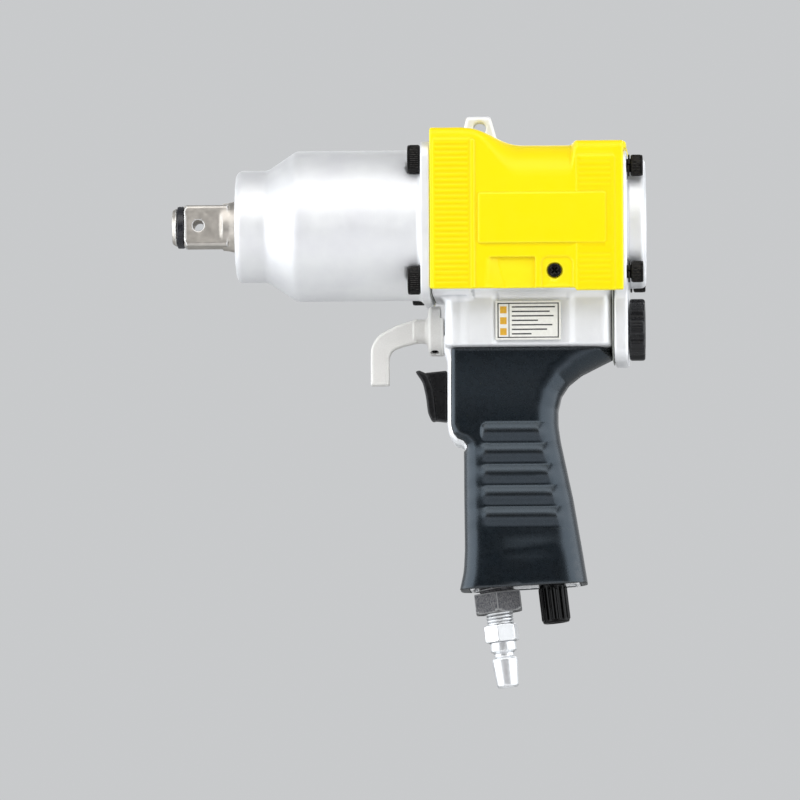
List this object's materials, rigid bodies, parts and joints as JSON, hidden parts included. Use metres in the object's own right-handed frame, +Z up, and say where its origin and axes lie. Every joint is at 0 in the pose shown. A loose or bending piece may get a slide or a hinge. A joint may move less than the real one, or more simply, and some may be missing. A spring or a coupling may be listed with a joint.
{
  "type": "impact wrench",
  "caption": "Pistol-grip air impact wrench with a square drive, a hammer case, a yellow motor cover, a rubber grip, a trigger and a reversing lever.",
  "frame": {"origin": "centre of the anvil's front end face, on the spindle's axis", "axes": "+X along the spindle from the anvil's tip to the back of the tool, +Z up with the handle hanging below, +Y to the tool's right-hand side as seen from behind it"},
  "size_m": [0.218, 0.0752, 0.2636],
  "materials": {
    "case_aluminium": "satin, finely turned, bright",
    "cast_aluminium": "fine blasted casting with machined edges",
    "tool_steel": "dark hardened steel with ground flats",
    "bearing_steel": "ground and polished",
    "spring_steel": "drawn wire",
    "bronze": "sintered bronze",
    "black_screw": "black oxide",
    "yellow_cover": "moulded, glossy, saturated yellow",
    "grip_rubber": "moulded soft rubber, semi-matt",
    "black_plastic": "moulded, satin",
    "muffler_black": "moulded, glossy ribs",
    "lever_grey": "warm light grey, matt cast",
    "inlet_steel": "dark phosphated steel, grainy",
    "plated_steel": "bright plating",
    "vane_composite": "woven phenolic",
    "gasket_sheet": "compressed fibre",
    "seal_rubber": "smooth black rubber",
    "label_sheet": "blank printed foil"
  },
  "bodies": {
    "housing": {"anvil_bushing": "bronze", "anvil_seal": "seal_rubber", "case_gasket": "gasket_sheet", "case_screw_1": "black_screw", "case_screw_2": "black_screw", "case_screw_3": "black_screw", "case_screw_4": "black_screw", "cover_screw_left": "black_screw", "cover_screw_right": "black_screw", "cylinder_liner": "bearing_steel", "exhaust_muffler": "muffler_black", "front_bearing": "bearing_steel", "front_end_plate": "bearing_steel", "grip_sleeve": "grip_rubber", "hammer_case": "case_aluminium", "hose_nipple": "plated_steel", "inlet_bushing": "inlet_steel", "inlet_strainer": "bronze", "label_plate": "label_sheet", "liner_dowel_pin": "bearing_steel", "motor_cover": "yellow_cover", "motor_housing": "cast_aluminium", "rear_bearing": "bearing_steel", "rear_cover": "cast_aluminium", "rear_end_plate": "bearing_steel", "rear_gasket": "gasket_sheet", "rear_screw_1": "black_screw", "rear_screw_2": "black_screw", "rear_screw_3": "black_screw", "rear_screw_4": "black_screw", "rear_washer_1": "black_screw", "rear_washer_2": "black_screw", "rear_washer_3": "black_screw", "rear_washer_4": "black_screw", "throttle_seat": "bronze", "throttle_spring": "spring_steel", "trigger_bushing": "bronze", "valve_bushing": "bronze"},
    "anvil": {"anvil": "tool_steel", "socket_retainer_ring": "seal_rubber"},
    "drive_train": {"rotor": "tool_steel", "rotor_vane_1": "vane_composite", "rotor_vane_2": "vane_composite", "rotor_vane_3": "vane_composite", "rotor_vane_4": "vane_composite", "rotor_vane_5": "vane_composite", "rotor_vane_6": "vane_composite", "hammer_cage": "tool_steel", "hammer_pin_top": "bearing_steel", "hammer_pin_bottom": "bearing_steel"},
    "front_hammer": {"hammer_front": "tool_steel"},
    "rear_hammer": {"hammer_rear": "tool_steel"},
    "reverse_control": {"reverse_lever": "lever_grey", "reverse_valve": "bearing_steel", "lever_set_screw": "black_screw"},
    "regulator": {"regulator_knob": "black_plastic", "regulator_valve": "bearing_steel"},
    "trigger": {"trigger": "black_plastic", "trigger_rod": "bearing_steel"},
    "throttle": {"throttle_valve": "bearing_steel"}
  },
  "joints": [
    {"name": "anvil_spin", "type": "hinge", "parent": "housing", "child": "anvil", "pos_m": [0, 0, 0], "axis": [1, 0, 0], "continuous": true},
    {"name": "rotor_spin", "type": "hinge", "parent": "housing", "child": "drive_train", "pos_m": [0, 0, 0], "axis": [1, 0, 0], "continuous": true},
    {"name": "front_hammer_rock", "type": "hinge", "parent": "drive_train", "child": "front_hammer", "pos_m": [0.0731, 0, 0.024], "axis": [1, 0, 0], "range_deg": [-5, 5]},
    {"name": "rear_hammer_rock", "type": "hinge", "parent": "drive_train", "child": "rear_hammer", "pos_m": [0.0885, 0, -0.024], "axis": [1, 0, 0], "range_deg": [-5, 5]},
    {"name": "reverse_turn", "type": "hinge", "parent": "housing", "child": "reverse_control", "pos_m": [0.121, 0, -0.049], "axis": [1, 0, 0], "range_deg": [-35, 35]},
    {"name": "regulator_turn", "type": "hinge", "parent": "housing", "child": "regulator", "pos_m": [0.214, 0, -0.049], "axis": [1, 0, 0], "range_deg": [0, 270]},
    {"name": "trigger_pull", "type": "slide", "parent": "housing", "child": "trigger", "axis": [1, 0, 0], "range_m": [0, 0.006], "stiffness_N_per_m": 1500, "springref_m": -0.004},
    {"name": "throttle_open", "type": "slide", "parent": "housing", "child": "throttle", "axis": [1, 0, 0], "range_m": [0, 0.006], "deforming": ["throttle_spring"]}
  ],
  "couplings": [
    {"joint": "throttle_open", "follows": "trigger_pull", "ratio": 1}
  ]
}
